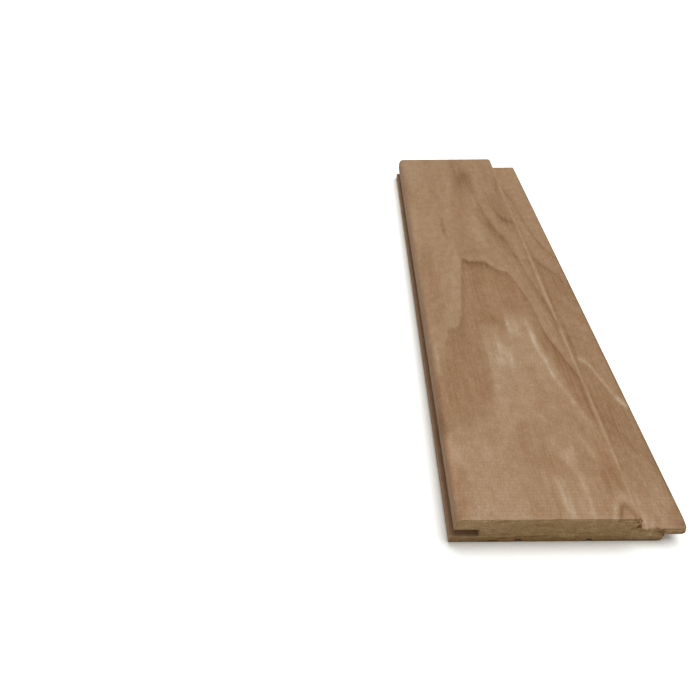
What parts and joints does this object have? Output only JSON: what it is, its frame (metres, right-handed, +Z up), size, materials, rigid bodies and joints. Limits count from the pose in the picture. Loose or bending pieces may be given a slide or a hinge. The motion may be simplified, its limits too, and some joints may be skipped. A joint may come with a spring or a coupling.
{
  "type": "tongue and groove cladding board",
  "caption": "Flat moulded timber board with rounded face edges, a wide shadow gap, a tongue on one long edge, a groove on the other and relief grooves in the back.",
  "frame": {"origin": "middle of the board's footprint, on its back face", "axes": "+X across the board from the groove to the tongue, +Y along the board and its grain, +Z up from the back face to the show face"},
  "size_m": [0.09, 0.32, 0.015],
  "materials": {
    "wood": "smooth planed, unfinished, heat-treated hardwood with a light brown tone"
  },
  "bodies": {
    "root": {"cladding_board": "wood"}
  },
  "joints": []
}
